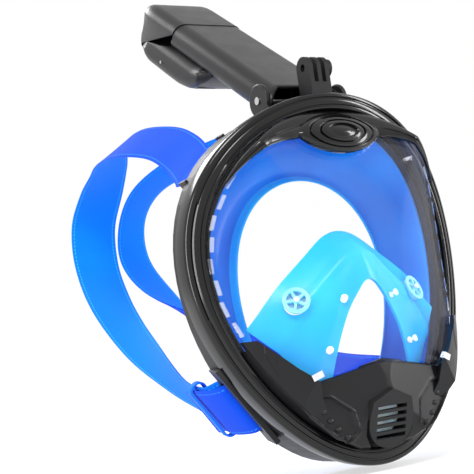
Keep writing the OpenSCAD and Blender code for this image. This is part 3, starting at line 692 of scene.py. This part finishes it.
def shell_loft(name, rings, body, mats, stands_for, cap_end=False, thick=1.6, sharp=38):
    """Rings of points in the tube frame become a skin with an inner wall, so it has real edges."""
    n = len(rings[0])
    verts = [from_tube(*p) for r in rings for p in r]
    faces = grid_faces(len(rings), n)
    if cap_end:
        faces.append(tuple(reversed(range((len(rings) - 1) * n, len(rings) * n))))
    obj = piece(name, verts, faces, body, mats, stands_for, sharp=sharp,
                mat_of=lambda i: 1 if len(mats) > 1 and 27 <= i % n <= 35 else 0)
    mod = obj.modifiers.new("wall", "SOLIDIFY")
    mod.thickness = thick * MM
    mod.offset = -1
    return obj


def tube_rings():
    rings = []
    for k in range(31):
        t = k / 30
        ring = []
        for x, y in round_box(29, -10.5, 10.5, 9.6):
            start = -math.sqrt(max(10.6 ** 2 - y * y, 0))
            ring.append((x, y, start + (min(seam_z(x, y), 146) - 0.35 - start) * t))
        rings.append(ring)
    return rings + [[(x * 0.96, y * 0.9, z + 0.4) for x, y, z in rings[-1]]]


shell_loft("snorkel_body", tube_rings(), "snorkel", [SNORKEL], ["snorkel_tube"])


def cap_rings():
    rings = []
    for t in (0, 0.08, 0.2, 0.35, 0.5, 0.62, 0.72, 0.8, 0.865, 0.915, 0.95, 0.975, 0.992, 1.0):
        ring = []
        for x, y in round_box(29.5, -11, 34, 9.5):
            z0 = seam_z(x, y) + 0.35
            ring.append(closing(x, y, z0 + (TIP - z0) * t))
        rings.append(ring)
    return [[(x * 0.96, 11.5 + (y - 11.5) * 0.94, z - 0.4) for x, y, z in rings[0]]] + rings


shell_loft("snorkel_cap_shell", cap_rings(), "snorkel", [SNORKEL, PALE], ["snorkel_cap"],
           cap_end=True)

BULGE = [(84, 12), (86, 15.5), (90, 20), (96, 25), (104, 29.2), (114, 32), (126, 33.7), (140, 34), (210, 34)]


def inlet_rings():
    """Lower half of the cap: swells from under the tube and meets the cap along its swept seam."""
    rings = []
    for k in range(26):
        t = (k / 25) ** 1.4
        ring = []
        for x, y in round_box(1, 0, 1, 0.5):
            end = seam_z(29 * x, 9 + 25 * y) - 0.35
            z = 84 + (end - 84) * t
            low = table(BULGE, z)
            depth = low - 9
            r = min(9.5, depth / 2 - 0.05)
            near = min(28.6, 20 + (z - 84) * 1.1)
            px = math.copysign(near - r, x) + (x - math.copysign(0.5, x)) * 2 * r if abs(x) > 1e-6 else 0
            py = (9 + r if y < 0.5 else low - r) + (y - 0.5) * 2 * r
            ring.append(closing(px, py, z))
        rings.append(ring)
    return rings


inlet = shell_loft("inlet_shell", inlet_rings(), "snorkel", [SNORKEL, PALE], ["inlet_cover"],
                   thick=1.4)

cutters = []
for side in (-1, 1):
    for k in range(3):
        bpy.ops.mesh.primitive_cube_add(size=1)
        cut = bpy.context.object
        along = Matrix.Rotation(-LEAN, 4, "X")
        cut.matrix_world = Matrix.Translation(from_tube(side * 14, 30, 100 + k * 10) * MM) @ along \
            @ Matrix.Rotation(math.radians(side * 18), 4, "Y") @ Matrix.Diagonal((0.018, 0.03, 0.0042, 1))
        cutters.append(cut)
for cut in cutters:
    mod = inlet.modifiers.new("slot", "BOOLEAN")
    mod.object = cut
    mod.solver = "EXACT"
bpy.context.view_layer.objects.active = inlet
for mod in list(inlet.modifiers):
    bpy.ops.object.modifier_apply(modifier=mod.name)
for cut in cutters:
    bpy.data.objects.remove(cut, do_unlink=True)


# ---- snorkel base: a saddle block the tube turns in ----
def saddle(name, x0, x1, profile):
    n = len(profile)
    verts = [(x, y, z) for x in (x0, x1) for y, z in profile]
    faces = [tuple(range(n)), tuple(reversed(range(n, 2 * n)))]
    faces += [(i, (i + 1) % n, n + (i + 1) % n, n + i) for i in range(n)]
    obj = piece(name, verts, faces, "mask", SNORKEL, ["snorkel_base"], sharp=35)
    mod = obj.modifiers.new("round", "BEVEL")
    mod.width = 0.9 * MM
    mod.segments = 3
    mod.limit_method = "ANGLE"
    mod.angle_limit = math.radians(50)


def hub(r, low, high, count=24):
    angles = [math.radians(low + (high - low) * i / count) for i in range(count + 1)]
    return [(HINGE_Y + r * math.cos(a), HINGE_Z + r * math.sin(a)) for a in angles]


saddle("base_saddle", -29.2, 29.2,
       [(-9, 97), (-9, 106)] + hub(12.6, -40, -146) + [(-36, 107.2), (-41, 107.2), (-41, 97)])
for side in (-1, 1):
    saddle("base_cheek_%s" % ("right" if side < 0 else "left"), side * 29.5, side * 32.2,
           [(-9, 97), (-9, 104)] + hub(11.2, -42, 212) + [(-41, 104), (-41, 97)])


# ---- webbing keepers on the strap tails ----
def keeper(side):
    mid = Vector((71.3, 21.2, -80.4))
    out = rim_out(-38)
    along = Vector((-out.z, 0, out.x))
    cross = out.cross(along)
    tip = math.radians(-11)
    up = out * math.cos(tip) + cross * math.sin(tip)
    cross = up.cross(along)
    verts = []
    count, half_l, half_h, r = 40, 20.6, 4.6, 3.6
    ring = []
    for i in range(count):
        a = 2 * math.pi * (i + 0.5) / count
        c, s = math.cos(a), math.sin(a)
        ring.append((math.copysign(half_l - r, c) + r * c, math.copysign(half_h - r, s) + r * s, c, s))
    for u, v, c, s in ring:
        for w, h in ((-3.4, 0), (-3.4, 0.9), (-3.0, 1.3), (3.0, 1.3), (3.4, 0.9), (3.4, 0)):
            q = mid + along * (u + c * h) + up * (v + s * h) + cross * w
            verts.append((q.x * side, q.y, q.z))
    word = "right" if side < 0 else "left"
    piece("keeper_loop_" + word, verts, grid_faces(count, 6, close_rows=True), "keeper_" + word,
          [KEEPER], ["strap_keeper_" + word], sharp=50)


keeper(1)
keeper(-1)


# ---- stepped edge inside the window's side walls ----
def window_steps(side):
    verts, faces = [], []
    for k, a in enumerate([-24 + 7.5 * j for j in range(9)]):
        for da, inset in ((0, 13.4), (5.2, 13.4), (5.2, 15.2), (0, 15.2)):
            for d in (-1.4, -2.3):
                x, z = rim(inset + (k % 2) * 0.8, a + da)
                verts.append((x * side, dome_y(x, z, 0) + 3.4 + d, z))
        b = k * 8
        faces += [(b, b + 2, b + 4, b + 6), (b + 7, b + 5, b + 3, b + 1)]
        faces += [(b + 2 * i, b + 2 * i + 1, b + (2 * i + 3) % 8, b + (2 * i + 2) % 8) for i in range(4)]
    word = "right" if side < 0 else "left"
    piece("window_steps_" + word, verts, faces, "mask", [GLINT], sharp=20)


window_steps(1)
window_steps(-1)


# ---- camera ----
def place_camera():
    az, el, roll = math.radians(-30), math.radians(-6.4), math.radians(-8)
    back = Vector((math.sin(az) * math.cos(el), -math.cos(az) * math.cos(el), math.sin(el)))
    right = Vector((math.cos(az), math.sin(az), 0))
    up = right.cross(-back)
    x_axis = right * math.cos(roll) + up * math.sin(roll)
    y_axis = up * math.cos(roll) - right * math.sin(roll)
    data = bpy.data.cameras.new("camera")
    data.sensor_width = 36
    data.lens = 83.5
    data.clip_start = 0.01
    cam = bpy.data.objects.new("camera", data)
    scene.collection.objects.link(cam)
    place = Matrix((x_axis, y_axis, back)).transposed().to_4x4()
    place.translation = Vector((-0.4073, -0.6221, -0.0519))
    cam.matrix_world = place
    scene.camera = cam


place_camera()


# ---- stage and light ----
def stage_and_light():
    world = bpy.data.worlds.new("world")
    scene.world = world
    world.use_nodes = True
    world.node_tree.nodes["Background"].inputs[0].default_value = (1, 1, 1, 1)
    world.node_tree.nodes["Background"].inputs[1].default_value = 1.0
    low = cad_box[0][2] - 0.004
    bpy.ops.mesh.primitive_plane_add(size=40, location=(0, 0, low))
    floor = bpy.context.object
    floor.name = "floor"
    mat, tree, bsdf = new_mat("floor")
    tree.links.new(ramp(tree, noise(tree, 2), [(0.3, (0.5, 0.5, 0.5)), (0.7, (0.52, 0.52, 0.52))]),
                   bsdf.inputs["Base Color"])
    bsdf.inputs["Roughness"].default_value = 0.9
    bsdf.inputs["Specular IOR Level"].default_value = 0.0
    bsdf.inputs["Emission Color"].default_value = (1, 1, 1, 1)
    bsdf.inputs["Emission Strength"].default_value = 0.55
    floor.data.materials.append(mat)
    for name, place, aim, size, power in (
        ("key", (-0.9, -1.0, 1.3), (0, 0, 0), (0.7, 0.5), 22),
        ("side", (1.2, -0.9, 0.4), (0, 0, 0), (0.25, 1.1), 14),
        ("left", (-1.3, -0.1, 0.2), (0, 0, 0), (0.25, 1.1), 10),
        ("back", (-0.3, 1.4, 1.2), (0, 0, 0), (1.0, 0.5), 14),
    ):
        data = bpy.data.lights.new(name, "AREA")
        data.shape = "RECTANGLE"
        data.size, data.size_y = size
        data.energy = power
        lamp = bpy.data.objects.new(name, data)
        lamp.location = place
        lamp.rotation_euler = (Vector(aim) - Vector(place)).to_track_quat("-Z", "Y").to_euler()
        scene.collection.objects.link(lamp)


scene.view_settings.view_transform = "Standard"
stage_and_light()
